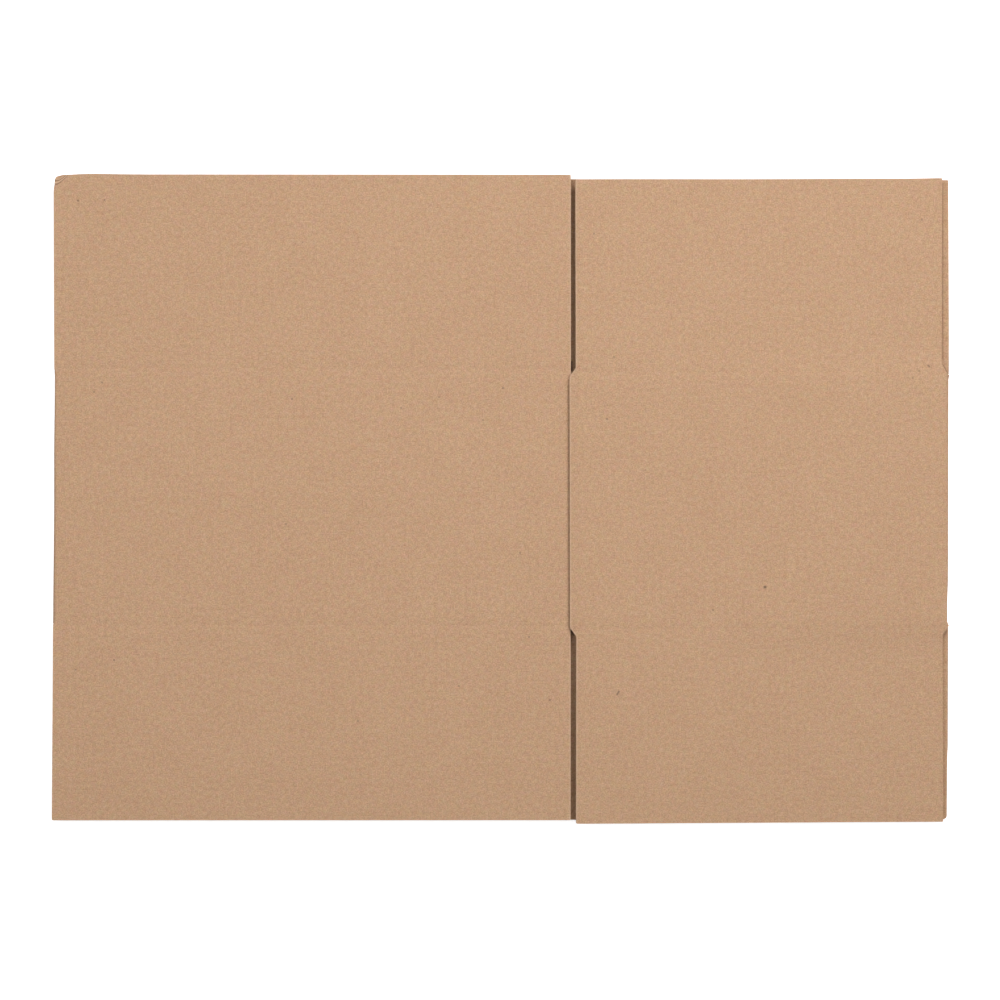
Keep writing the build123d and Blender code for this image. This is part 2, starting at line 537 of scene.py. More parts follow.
@dataclass(frozen=True)
class Folding:
    """Takes points of the flat blank to where they lie in the carton folded flat.

    A pair of distances is where a change begins and where it is complete. The last one moves the
    carton's own axes, whose origin is on the left fold's line at mid sheet, to the frame's.
    """

    blank: Blank = field(default_factory=Blank)
    board: Board = field(default_factory=Board)
    left: CrushedFold = CrushedFold(
        6.8,
        freed=(-0.6, 1.0),
        drawn_in=(
            (-75.0, 0.02), (-58.0, 0.05), (-28.0, 0.29), (0.0, 0.36),
            (15.0, 0.27), (30.0, 0.17), (46.0, 0.36), (62.0, 0.49),
        ),
    )
    right: CrushedFold = CrushedFold(7.2, drawn_in=((-61.0, 0.66), (-48.0, 0.04)))
    long_skew: float = math.radians(0.17)
    short_skew: float = math.radians(0.32)
    lap_lift: float = 6.7
    right_lift: float = 4.23
    glue: float = 0.03
    score_half_width: float = 1.5
    score_floor: float = 0.5
    score_depth: float = 0.15
    flute_sag: float = 0.035
    long_droop: float = -0.6
    short_droop: float = 0.1
    edge_press: float = 0.8
    edge_zone: float = 6.0
    flap_gap: float = 0.08
    knock: Knock = Knock()
    crease_depth: float = 0.28
    corner_droop: float = 0.35
    crumple_reach: float = 12.0
    droop_reach: Pair = (1.0, 8.0)
    lap_step: Pair = (-6.0, -1.5)
    lap_step_end: float = 20.0
    flap_leaves: Pair = (-2.0, 14.0)
    hang: Pair = (20.0, 220.0)
    frame_shift: Pair = (-272.704, 0.164)

    @property
    def width(self) -> float:
        """Distance between the outermost lines of the two folds."""
        return self.blank.right_score - self.left.loss - self.right.loss

    @property
    def right_root(self) -> float:
        """Place across the carton where the upper short panel leaves the right fold."""
        return self.width - self.right.depth

    @property
    def free_edge(self) -> float:
        """Place across the carton of the upper short panel's free edge."""
        return self.width - (self.blank.free_edge - self.blank.right_score - self.right.loss)

    @property
    def short_slope(self) -> float:
        """Rise of the upper short panel towards its free edge."""
        return (self.lap_lift - self.right_lift) / (self.right_root - self.free_edge)

    @property
    def flap_bends(self) -> Pair:
        """Distances from mid sheet between which the last panel's flaps leave its body."""
        return self.blank.slot_end + self.flap_leaves[0], self.blank.slot_end + self.flap_leaves[1]

    def pressed(self, flat: np.ndarray) -> np.ndarray:
        """Press the scores into both faces and let the liners sag a little between the flutes.

        Args:
            flat: Points (place, height, depth) of the flat sheet.

        Returns:
            Depths below the outer face.
        """
        place, height, depth = flat.T
        blank = self.blank
        across = np.abs(np.abs(height) - blank.body_height / 2)
        upright = np.minimum(np.abs(place - blank.middle_score), np.abs(place - blank.lap_score))
        upright = np.where(np.abs(height) < blank.slot_end, upright, np.inf)
        nearest = np.minimum(across, upright)
        groove = 1 - smooth_step(nearest, self.score_floor, self.score_half_width)
        phase = 2 * math.pi * place / self.board.pitch
        sag = self.flute_sag * (1 + np.cos(phase)) / 2
        inward = groove * self.score_depth + sag * (1 - groove)
        return depth + inward * (1 - 2 * depth / self.board.thickness)

    def side(self, fold: CrushedFold, at: Places) -> tuple[np.ndarray, np.ndarray]:
        """Place points on one side of a fold, folded in the body and flat in the flaps.

        Args:
            fold: The fold's section.
            at: The points.

        Returns:
            Distance inwards from the outermost line, and height above mid fold.
        """
        inwards, above = fold.section(at.run, at.depth)
        drawn = np.interp(at.height, *zip(*fold.drawn_in, strict=True))
        inwards = inwards + drawn * (1 - smooth_step(at.run, 0.0, fold.draw_length))
        beyond = smooth_step(np.abs(at.height) - self.blank.slot_end, *fold.freed)
        free = beyond * smooth_step(at.run, *fold.freed_run)
        flat_in = at.run - fold.loss
        flat_up = fold.height / 2 - at.depth
        return inwards + (flat_in - inwards) * free, above + (flat_up - above) * free

    def upper_long(self, at: Places) -> np.ndarray:
        """Place the first long panel and the glue lap beyond it.

        Args:
            at: The points, measured from the left fold's score.

        Returns:
            Points in the carton's own axes, before they are moved to the frame.
        """
        x, above = self.side(self.left, at)
        run, height, _ = at
        z = self.left.height / 2 + above
        turn = self.long_skew * smooth_step(run, 0.0, self.left.wrap)
        score = self.blank.long_panel
        lap_top = self.lap_lift - (x - self.free_edge) * self.short_slope - self.glue
        to_lap = smooth_step(run - score, *self.lap_step)
        in_body = np.abs(height) < self.blank.slot_end + self.lap_step_end
        z = z + (lap_top - self.left.height) * to_lap * in_body
        z = z - self.long_droop * self.towards_tip(height) + self.crumple(at)
        return np.stack([x - height * turn, height + x * turn, z], 1)

    def towards_tip(self, height: np.ndarray) -> np.ndarray:
        """Rise smoothly from 0 at a flap's score to 1 at its tip."""
        return smooth_step(np.abs(height), self.blank.body_height / 2, self.blank.half_height)

    def crumple(self, at: Places) -> np.ndarray:
        """Rise of the board in the knocked corner, half as much at the inner liner.

        Args:
            at: The points, measured from the left fold's score.

        Returns:
            Heights to add.
        """
        wave, radius = self.knock.wave(Numbers, at.run, at.height, self.knock.board_fade)
        bent = -self.corner_droop * (1 - smooth_step(radius, *self.droop_reach))
        through = 1 - at.depth / (2 * self.board.thickness)
        return bent - self.crease_depth * wave * (radius < self.crumple_reach) * through

    def upper_short(self, at: Places) -> np.ndarray:
        """Place the last short panel, which slopes up to its free edge on the glue lap.

        Args:
            at: The points, measured from the right fold's score.

        Returns:
            Points in the carton's own axes, before they are moved to the frame.
        """
        inwards, above = self.side(self.right, at)
        run, height, depth = at
        x = self.width - inwards
        reach = self.right_root - x
        settled = smooth_step(run, 0.0, self.right.wrap)
        turn = self.short_skew * settled
        lift = self.right_lift + self.board.thickness - self.right.height + reach * self.short_slope
        edge = self.right_lift - self.board.thickness - self.flap_gap
        leaves = smooth_step(np.abs(height), *self.flap_bends)
        share = smooth_step(reach, *self.hang)
        lift = lift - edge * leaves * (1 - share) - self.short_droop * self.towards_tip(height) * share
        z = self.right.height / 2 + above + lift * settled
        to_edge = self.width - self.free_edge - reach - self.right.depth
        pressed = self.edge_press * (1 - smooth_step(to_edge, 0.0, self.edge_zone))
        z = z - pressed * (1 - depth / self.board.thickness)
        return np.stack([x - height * turn, height - reach * turn, z], 1)

    def lower(self, fold: CrushedFold, at: Places) -> np.ndarray:
        """Place points of the lower layer, whose outer liner faces down.

        Args:
            fold: The fold that they are measured from.
            at: The points.

        Returns:
            Distances inwards from the fold's outermost line, places along the flutes, and heights.
        """
        inwards, above = self.side(fold, at)
        return np.stack([inwards, at.height, fold.height / 2 - above], 1)

    def fold(self, flat: np.ndarray) -> np.ndarray:
        """Fold the flat sheet.

        Args:
            flat: Points (place, height, depth) of the flat sheet.

        Returns:
            Points in the frame's axes, in millimetres.
        """
        place, height = flat[:, 0], flat[:, 1]
        depth = self.pressed(flat)
        right = self.blank.right_score
        runs = (place, right - place, -place, place - right)
        first, second, third, fourth = (Places(np.maximum(run, 0), height, depth) for run in runs)
        lower_right = self.lower(self.right, second)
        lower_right[:, 0] = self.width - lower_right[:, 0]
        in_first = (place < self.blank.middle_score)[:, None]
        points = np.where(in_first, self.lower(self.left, first), lower_right)
        points = np.where((place < 0)[:, None], self.upper_long(third), points)
        points = np.where((place > right)[:, None], self.upper_short(fourth), points)
        points[:, 0] += self.frame_shift[0]
        points[:, 1] += self.frame_shift[1]
        return points


@dataclass(frozen=True)
class BakePage:
    """The bake's square map, in millimetres of the flat sheet, most of it for the outer liner.

    The raw faces lie beside the panels in narrow lanes, each kind with where its first lane starts
    and how far its lanes are apart: the walls cut across the flutes, the walls cut along them, and
    the faces of the medium.
    """

    blank: Blank
    board: Board
    margin: float = 3.0
    liner_scale: float = 0.38
    wall_scale: float = 0.8
    wall_slope: float = 0.3
    end_slope: float = 0.8
    end_zone: float = 4.0
    end_lanes: Pair = (156.0, 5.0)
    side_lanes: Pair = (110.0, 3.4)
    side_reach: float = 60.0
    flute_lanes: Pair = (5.0, 11.0)
    flute_repeat: int = 10
    flute_top: float = 460.0

    def unwrap(self, mesh: bpy.types.Mesh, flat: np.ndarray, kinds: np.ndarray) -> None:
        """Lay the faces out on the map.

        Args:
            mesh: The flat blank.
            flat: Its vertices.
            kinds: One Face value for each face.
        """
        page = 4 * (self.blank.half_height + self.margin)
        layer = mesh.uv_layers.new(name="OFBake")
        places = np.empty((len(mesh.loops), 2))
        for polygon in mesh.polygons:
            corners = Places(*flat[list(polygon.vertices)].T)
            if kinds[polygon.index] == Face.RAW:
                spot = self.raw(corners, polygon.normal)
            else:
                spot = self.liner(corners, kinds[polygon.index] == Face.OUTER)
            places[list(polygon.loop_indices)] = np.stack(spot, 1)
        layer.data.foreach_set("uv", (places / page).ravel())

    @property
    def side(self) -> float:
        """Where the inner liner and the lanes beside the outer liner's panels start."""
        beyond = self.blank.free_edge - self.blank.right_score
        return beyond - self.blank.lap_edge + 4 * self.margin

    def liner(self, corners: Places, is_outer: bool) -> tuple[np.ndarray, np.ndarray]:
        """Places of a liner's face: the upper panels side by side, and the lower ones beyond them.

        Args:
            corners: Its corners, whose runs are measured along the whole sheet.
            is_outer: True for the outer liner.

        Returns:
            Places across and up the page.
        """
        x, y, _ = corners
        half, margin, lap = self.blank.half_height, self.margin, self.blank.lap_edge
        if not is_outer:
            return self.side + (y + half) * self.liner_scale, margin + (x - lap) * self.liner_scale
        upper = y + half + margin
        if x.mean() < 0:
            return x - lap + margin, upper
        if x.mean() > self.blank.right_score:
            return x - self.blank.right_score - lap + 2 * margin, upper
        return x + margin, upper + 2 * half + margin

    def raw(self, corners: Places, normal: Vector) -> tuple[np.ndarray, np.ndarray]:
        """Places of a face that isn't on a liner.

        Args:
            corners: Its corners, whose runs are measured along the whole sheet.
            normal: Its normal in the flat sheet.

        Returns:
            Places across and up the page.
        """
        x, y, depth = corners
        half, lap, half_pitch = self.blank.half_height, self.blank.lap_edge, self.board.pitch / 2
        is_wall = abs(normal[2]) < self.wall_slope
        if is_wall and abs(normal[1]) > self.end_slope:
            lane = 0 if y.mean() > 0 else 1
            lane += 2 if abs(y.mean()) < half - self.end_zone else 0
            across = self.side + self.end_lanes[0] + lane * self.end_lanes[1] + depth
            return across, self.margin + (x - lap) * self.liner_scale
        up = self.flute_top + (y + half) * self.wall_scale
        if is_wall:
            lane = round((x.mean() - lap) / self.side_reach)
            return self.side + self.side_lanes[0] + lane * self.side_lanes[1] + depth, up
        flute = round(x.mean() / half_pitch)
        lane = self.flute_lanes[0] + flute % self.flute_repeat * self.flute_lanes[1]
        from_flute = (x.mean() - flute * half_pitch) * self.wall_scale
        return self.side + lane + x - x.mean() + from_flute, up


@dataclass
class Carton:
    """The whole carton, from the fluted board to the folded mesh."""

    board: Board = field(default_factory=Board)
    blank: Blank = field(default_factory=Blank)
    folding: Folding = field(default_factory=Folding)
    trim: float = 6.0
    columns_per_pitch: int = 4
    fold_zone: float = 5.2
    fold_column: float = 0.45
    body_row: float = 12.0
    flap_row: float = 8.5
    body_rows_end: float = 4.0
    past_score: float = 4.6
    flap_rows_start: float = 10.0
    corner_step: float = 0.5
    corner_border: float = 0.5
    snap: float = 0.001
    sharp_angle: float = math.radians(30.0)

    def columns(self, per_pitch: int) -> np.ndarray:
        """Places of the columns of a liner, closer together round the folds.

        Args:
            per_pitch: Columns in a flute pitch.

        Returns:
            Sorted places along the sheet.
        """
        start = self.blank.lap_edge - self.trim
        end = self.blank.free_edge + self.trim
        step = self.board.pitch / per_pitch
        regular = np.arange(math.ceil(start / step), math.floor(end / step) + 1) * step
        folds = (0.0, self.blank.right_score)
        away = np.min([np.abs(regular - at) for at in folds], axis=0)
        close = np.arange(-self.fold_zone, self.fold_zone + self.fold_column / 2, self.fold_column)
        places = [regular[away > self.fold_zone + step / 2]] + [at + close for at in folds]
        return np.sort(np.concatenate(places + [np.array([start, end])]))

    def rows(self) -> np.ndarray:
        """Lay out the rows along the flutes, with close ones across the scores.

        Returns:
            Sorted places along the flutes.
        """
        half = self.blank.half_height + self.trim
        score = self.blank.body_height / 2
        across = self.folding.score_half_width
        floor = self.folding.score_floor
        body_end = score - self.body_rows_end
        flap_start = score + self.flap_rows_start
        body = np.linspace(0, body_end, round(body_end / self.body_row) + 1)
        near = score + np.array([-across, -floor, floor, across, self.past_score])
        flap = np.linspace(flap_start, half, round((half - flap_start) / self.flap_row) + 1)
        upper = np.concatenate([body[1:], near, flap])
        return np.concatenate([-upper[::-1], [0.0], upper])

    def sheet(self) -> bpy.types.Mesh:
        """Make the fluted sheet before it is cut, with its air channels.

        Returns:
            The sheet's mesh, closed at the ends of the flutes.
        """
        shell = bmesh.new()
        outer = [(x, 0.0) for x in self.columns(self.columns_per_pitch)]
        inner = [(x, self.board.thickness) for x in self.columns(self.columns_per_pitch // 2)]
        rows = self.rows()
        self.tube(shell, outer + inner[::-1], rows, False)
        upper = np.array([*self.folding.flap_bends, rows[-1]])
        coarse = np.concatenate([-upper[::-1], [0.0], upper])
        for centre, is_outer in self.channels():
            self.tube(shell, self.board.channel(centre, is_outer), coarse, True)
        for end in (rows[0], rows[-1]):
            edges = [e for e in shell.edges if all(abs(v.co.y - end) < TOLERANCE for v in e.verts)]
            outwards = (0, math.copysign(1, end), 0)
            bmesh.ops.triangle_fill(shell, edges=edges, use_beauty=False, normal=outwards)
        return as_mesh("fluted_sheet", shell)

    def channels(self) -> list[tuple[float, bool]]:
        """Find the air channels that aren't crushed in a fold.

        Returns:
            Their middles along the sheet, each with True where its foot is the outer liner.
        """
        half_pitch = self.board.pitch / 2
        reach = self.fold_zone + self.board.foot_share * self.board.pitch
        first = math.ceil((self.blank.lap_edge - self.trim / 2) / half_pitch) + 1
        last = math.floor((self.blank.free_edge + self.trim / 2) / half_pitch) - 1
        found = []
        for number in range(first, last + 1):
            centre = number * half_pitch
            clear = min(abs(centre), abs(centre - self.blank.right_score))
            if clear > reach:
                found.append((centre, number % 2 == 0))
        return found

    def tube(self, shell: bmesh.types.BMesh, outline: list, rows: np.ndarray, hollow: bool) -> None:
        """Add the walls over a closed outline that runs along the flutes.

        Args:
            shell: The mesh that grows.
            outline: Points (place along the sheet, depth).
            rows: Places of the rows along the flutes.
            hollow: True for the walls of an air channel, which face inwards.
        """
        rings = [[shell.verts.new((x, y, depth)) for x, depth in outline] for y in rows]
        self.walls(shell, rings, hollow)

    @staticmethod
    def walls(shape: bmesh.types.BMesh, rings: list, hollow: bool) -> None:
        """Join closed rings of corners by walls, each ring to the next.

        Args:
            shape: The mesh that grows.
            rings: The corners of each ring.
            hollow: True for walls that face inwards.
        """
        for near, far in zip(rings, rings[1:], strict=False):
            for i in range(len(near)):
                j = (i + 1) % len(near)
                corners = (near[i], near[j], far[j], far[i])
                shape.faces.new(corners[::-1] if hollow else corners)

    def die(self) -> bpy.types.Mesh:
        """Make the die that the sheet is cut with.

        Returns:
            A prism on the blank's outline, taller than the board is thick.
        """
        prism = bmesh.new()
        outline = self.blank.outline()
        reach = self.board.thickness
        rings = [[prism.verts.new((x, y, z)) for x, y in outline] for z in (-reach, 2 * reach)]
        prism.faces.new(rings[0][::-1])
        prism.faces.new(rings[1])
        self.walls(prism, rings, False)
        return as_mesh("die", prism)

    def cut(self) -> bpy.types.Mesh:
        """Cut the sheet to the blank's outline.

        Returns:
            The flat blank.
        """
        sheet = placed("sheet", self.sheet())
        die = placed("die", self.die())
        cutter = sheet.modifiers.new("die_cut", "BOOLEAN")
        cutter.operation = "INTERSECT"
        cutter.solver = "MANIFOLD"
        cutter.object = die
        graph = bpy.context.evaluated_depsgraph_get()
        blank = bpy.data.meshes.new_from_object(sheet.evaluated_get(graph))
        for part in (sheet, die):
            data = part.data
            bpy.data.objects.remove(part)
            bpy.data.meshes.remove(data)
        return blank

    def build(self) -> bpy.types.Object:
        """Cut, fold and dress the carton.

        Returns:
            The finished object, in metres in the frame's axes.
        """
        mesh = self.cut()
        mesh.materials.clear()
        self.refine_corner(mesh)
        flat = np.empty(len(mesh.vertices) * 3)
        mesh.vertices.foreach_get("co", flat)
        flat = flat.reshape(-1, 3)
        log.info("blank: %d vertices, %d faces", len(flat), len(mesh.polygons))
        kinds = self.classify(mesh, flat)
        mesh.set_sharp_from_angle(angle=self.sharp_angle)
        BakePage(self.blank, self.board).unwrap(mesh, flat, kinds)
        sheet = mesh.attributes.new("sheet", "FLOAT_VECTOR", "POINT")
        sheet.data.foreach_set("vector", (flat * MM).ravel())
        # Distances to the cut edges, for their paler rims, which are partly wear and partly painted
        # highlight.
        for name, at_gap in (("rim", False), ("gap_rim", True)):
            rim = mesh.attributes.new(name, "FLOAT", "POINT")
            rim.data.foreach_set("value", self.blank.rim_distance(flat, at_gap) * MM)
        mesh.vertices.foreach_set("co", (self.folding.fold(flat) * MM).ravel())
        mesh.polygons.foreach_set("material_index", kinds)
        mesh.polygons.foreach_set("use_smooth", np.ones(len(kinds), bool))
        mesh.update()
        return placed("kraft_carton", mesh)

    def refine_corner(self, mesh: bpy.types.Mesh) -> None:
        """Divide the board finely where the knocked corner is creased.

        Args:
            mesh: The flat blank, which is changed.
        """
        reach = self.folding.crumple_reach + 2 * self.corner_step
        inner = -reach - self.folding.knock.inset
        lower = self.blank.half_height - reach
        shape = bmesh.new()
        shape.from_mesh(mesh)
        borders = ((1, lower), (0, inner))
        piece = self.with_edges([f for f in shape.faces if self.touches(f, inner, lower)])
        for axis, start in borders:
            piece = self.sliced(shape, piece, axis, start)
            faces = [g for g in piece if isinstance(g, bmesh.types.BMFace)]
            piece = self.with_edges([f for f in faces if f.calc_center_median()[axis] > start])
        for step in range(1, math.ceil(reach / self.corner_step)):
            for axis, start in borders:
                piece = self.sliced(shape, piece, axis, start + step * self.corner_step)
        shape.to_mesh(mesh)
        shape.free()

    def touches(self, face: bmesh.types.BMFace, inner: float, lower: float) -> bool:
        """True for a face that reaches past both borders of the corner, on the first long panel."""
        place, height = (max(v.co[axis] for v in face.verts) for axis in (0, 1))
        return inner < place < self.corner_border and height > lower

    @staticmethod
    def with_edges(faces: list) -> list:
        """Add to faces what a cut needs as well.

        Args:
            faces: Faces of a mesh.

        Returns:
            The faces, their edges and their corners.
        """
        edges = {edge for face in faces for edge in face.edges}
        verts = {vert for face in faces for vert in face.verts}
        return list(faces) + list(edges) + list(verts)

    def sliced(self, shape: bmesh.types.BMesh, piece: list, axis: int, place: float) -> list:
        """Divide part of a mesh by a plane across one axis.

        Args:
            shape: The mesh.
            piece: Its faces, edges and corners to divide.
            axis: 0 for the axis along the sheet and 1 for the one along the flutes.
            place: Place of the plane along the axis.

        Returns:
            The divided part.
        """
        normal = (0, 1, 0) if axis else (1, 0, 0)
        plane = {"plane_co": tuple(place * n for n in normal), "plane_no": normal}
        return bmesh.ops.bisect_plane(shape, geom=piece, dist=self.snap, **plane)["geom"]

    def classify(self, mesh: bpy.types.Mesh, flat: np.ndarray) -> np.ndarray:
        """Tell the outer liner, the inner liner and the raw faces apart.

        Args:
            mesh: The flat blank.
            flat: Its vertices.

        Returns:
            One Face value for each face.
        """
        depths = [flat[list(polygon.vertices), 2] for polygon in mesh.polygons]
        low = np.array([found.min() for found in depths])
        high = np.array([found.max() for found in depths])
        kinds = np.full(len(mesh.polygons), int(Face.RAW))
        kinds[high < TOLERANCE] = int(Face.OUTER)
        kinds[low > self.board.thickness - TOLERANCE] = int(Face.INNER)
        return kinds


def operator(operation: str, reflected: bool = False) -> Callable[[Signal, Signal | float], Signal]:
    """Make a method of Signal that adds a Math node.

    Args:
        operation: What the node works out.
        reflected: True where the signal is the right operand.

    Returns:
        The method.
    """

    def work_out(self: Signal, other: Signal | float) -> Signal:
        """Add the node."""
        operands = (other, self) if reflected else (self, other)
        return self.graph.maths(operation, *operands)

    return work_out


class Signal:
    """A shader value that can be used in arithmetic."""

    def __init__(self, graph: Graph, socket: bpy.types.NodeSocket) -> None:
        """Wrap one output socket of a graph."""
        self.graph = graph
        self.socket = socket

    __add__ = __radd__ = operator("ADD")
    __sub__ = operator("SUBTRACT")
    __rsub__ = operator("SUBTRACT", reflected=True)
    __mul__ = __rmul__ = operator("MULTIPLY")
    __truediv__ = operator("DIVIDE")
    __pow__ = operator("POWER")


@dataclass(frozen=True)
class Grain:
    """A layer of noise: its cells a metre, how detailed and rough it is, and its depth."""

    scale: float
    detail: float
    rough: float
    depth: float = 1.0


@dataclass(frozen=True)
class Surface:
    """How a cut or rolled paper surface takes light, with the strength and height of its relief."""

    roughness: float
    specular: float
    relief: float
    height: float


class Graph:
    """The node tree of one material or of the sky."""

    def __init__(self, name: str, tree: bpy.types.NodeTree | None = None) -> None:
        """Start an empty material, or add to a tree that is there.

        Args:
            name: The material's name.
            tree: The tree of the sky, or None for a material.
        """
        self.material = None
        self.tree = tree
        if tree is None:
            self.material = bpy.data.materials.new(name)
            self.material.use_nodes = True
            self.tree = self.material.node_tree
            self.tree.nodes.clear()

    def node(self, kind: str, settings: dict, sockets: dict, output: int | str = 0) -> Signal:
        """Add any node.

        Args:
            kind: Blender's type name of the node.
            settings: Properties of the node, which are set first.
            sockets: Values or links of its inputs, by name or number.
            output: The output that is wanted.

        Returns:
            The wanted output.
        """
        made = self.tree.nodes.new(kind)
        for name, value in settings.items():
            setattr(made, name, value)
        for name, value in sockets.items():
            if isinstance(value, Signal):
                self.tree.links.new(value.socket, made.inputs[name])
            else:
                made.inputs[name].default_value = value
        return Signal(self, made.outputs[output])

    def shown(self) -> Signal:
        """Tell apart what the camera sees, also through glass or in a mirror, from other light.

        Returns:
            1 for what the camera sees and 0 for other light.
        """
        rays = ("Is Camera Ray", "Is Glossy Ray", "Is Transmission Ray")
        seen, glossy, through = (self.node("ShaderNodeLightPath", {}, {}, ray) for ray in rays)
        return self.maths("MINIMUM", seen + glossy + through, 1.0)

    def attribute(self, name: str, output: str) -> Signal:
        """An attribute that is stored on the mesh."""
        return self.node("ShaderNodeAttribute", {"attribute_name": name}, {}, output)

    def axis(self, vector: Signal, name: str) -> Signal:
        """One number of a vector, X, Y or Z."""
        return self.node("ShaderNodeSeparateXYZ", {}, {0: vector}, name)

    def maths(self, operation: str, *values: Signal | float) -> Signal:
        """One Math node."""
        return self.node("ShaderNodeMath", {"operation": operation}, dict(enumerate(values)))

    def at_least(self, value: Signal, least: Signal | float) -> Signal:
        """The greater of two values."""
        return self.maths("MAXIMUM", value, least)

    def cosine(self, angle: Signal) -> Signal:
        """Cosine of an angle in radians."""
        return self.maths("COSINE", angle)

    def vector(self, operation: str, *values: object) -> Signal:
        """One Vector Math node, with its number as the output where it has one."""
        output = "Value" if operation in ("DOT_PRODUCT", "LENGTH") else "Vector"
        return self.node("ShaderNodeVectorMath", {"operation": operation}, dict(enumerate(values)), output)

    def scaled(self, vector: Signal | tuple, factor: Signal | float) -> Signal:
        """A vector or a colour times one number."""
        return self.node("ShaderNodeVectorMath", {"operation": "SCALE"}, {0: vector, "Scale": factor})

    def noise(self, place: Signal, grain: Grain, output: str = "Fac") -> Signal:
        """Noise about 0.5 before its depth is applied."""
        sockets = {"Vector": place, "Scale": grain.scale, "Detail": grain.detail, "Roughness": grain.rough}
        return self.node("ShaderNodeTexNoise", {}, sockets, output)

    def rise(self, value: Signal, start: float, end: float) -> Signal:
        """Rise smoothly from 0 at start to 1 at end.

        Args:
            value: The value to map.
            start: Where the rise begins.
            end: Where the rise is complete.

        Returns:
            A value between 0 and 1.
        """
        settings = {"interpolation_type": "SMOOTHSTEP", "clamp": True}
        sockets = {"Value": value, "From Min": start, "From Max": end}
        return self.node("ShaderNodeMapRange", settings, sockets)

    def mixed(self, share: Signal, first: Signal | Colour, second: Signal | Colour) -> Signal:
        """Mix two colours."""
        return self.node("ShaderNodeMix", {"data_type": "RGBA"}, {0: share, 6: first, 7: second}, 2)

    def finish(self, shader: Signal) -> bpy.types.Material:
        """Join the shader to the material's surface.

        Args:
            shader: The shader.

        Returns:
            The material.
        """
        out = self.tree.nodes.new("ShaderNodeOutputMaterial")
        self.tree.links.new(shader.socket, out.inputs["Surface"])
        return self.material

    def paper(self, colour: Signal, height: Signal, surface: Surface) -> bpy.types.Material:
        """Finish the material as paper.

        Args:
            colour: Its colour.
            height: The height of its relief.
            surface: How it takes light.

        Returns:
            The material.
        """
        relief = {"Strength": surface.relief, "Distance": surface.height, "Height": height}
        sockets = {
            "Base Color": colour,
            "Roughness": surface.roughness,
            "Normal": self.node("ShaderNodeBump", {}, relief),
            "Specular IOR Level": surface.specular,
        }
        return self.finish(self.node("ShaderNodeBsdfPrincipled", {}, sockets))


@dataclass(frozen=True)
class DarkMark:
    """A dark mark on the paper at a pixel of the photograph: some are chips of bark, others painted shade.
    """

    pixel: Pair
    radius: float
    strength: float
    length: float = 0.0
    heading: float = 0.0

    def ends(self) -> list[Pair]:
        """Find the mark's two ends, which are the same where it is round.

        Returns:
            Their pixels.
        """
        reach = self.length / 2
        step = (reach * math.cos(self.heading), -reach * math.sin(self.heading))
        return [(self.pixel[0] + side * step[0], self.pixel[1] + side * step[1]) for side in (-1, 1)]


ROUND_FLECKS = {
    (1.0, 0.85): ((765, 587),),
    (0.7, 0.69): ((78, 200.6),),
    (0.7, 0.63): ((503, 388),),
    (0.7, 0.57): ((292, 399), (607, 419), (713, 610), (550, 700), (529, 637), (114, 660)),
    (0.7, 0.52): ((286, 524),),
    (0.63, 0.57): ((483, 420), (358, 721), (104.5, 200), (102, 382.6), (594, 233.7), (75.7, 669.6)),
    (0.63, 0.52): ((401, 408), (459, 686), (520, 553), (94, 392), (922, 219.7), (614, 357)),
    (0.56, 0.52): ((439, 397), (919, 371), (912.7, 378)),
}
FLECKS = (
    DarkMark((618, 693), 0.63, 0.69, 3.5, math.radians(60)),
    DarkMark((928.8, 366), 0.63, 0.63, 1.5, math.radians(-40)),
    *(DarkMark(pixel, *size) for size, pixels in ROUND_FLECKS.items() for pixel in pixels),
)

# Painted shade on the inner liner: a line where the last panel's flaps rest on those below them,
# and dark spots at the ends of the gap and of the slots, where shade falls.
PAINTED_SHADE_MARKS = (
    DarkMark((942.75, 271.0), 0.45, 0.3, 176.0, math.radians(90)),
    DarkMark((943.9, 725.0), 0.45, 0.14, 176.0, math.radians(90.3)),
    DarkMark((945.0, 368.6), 0.4, 0.34, 10.5, math.radians(-59)),
    DarkMark((945.4, 633.2), 0.4, 0.3, 6.5, math.radians(59)),
    DarkMark((572.6, 188.0), 1.3, 0.25, 12.0, math.radians(90)),
    DarkMark((571.6, 366.0), 0.75, 0.85, 8.0, math.radians(90)),
    DarkMark((572.4, 633.0), 0.7, 0.7, 5.0, math.radians(-55)),
)


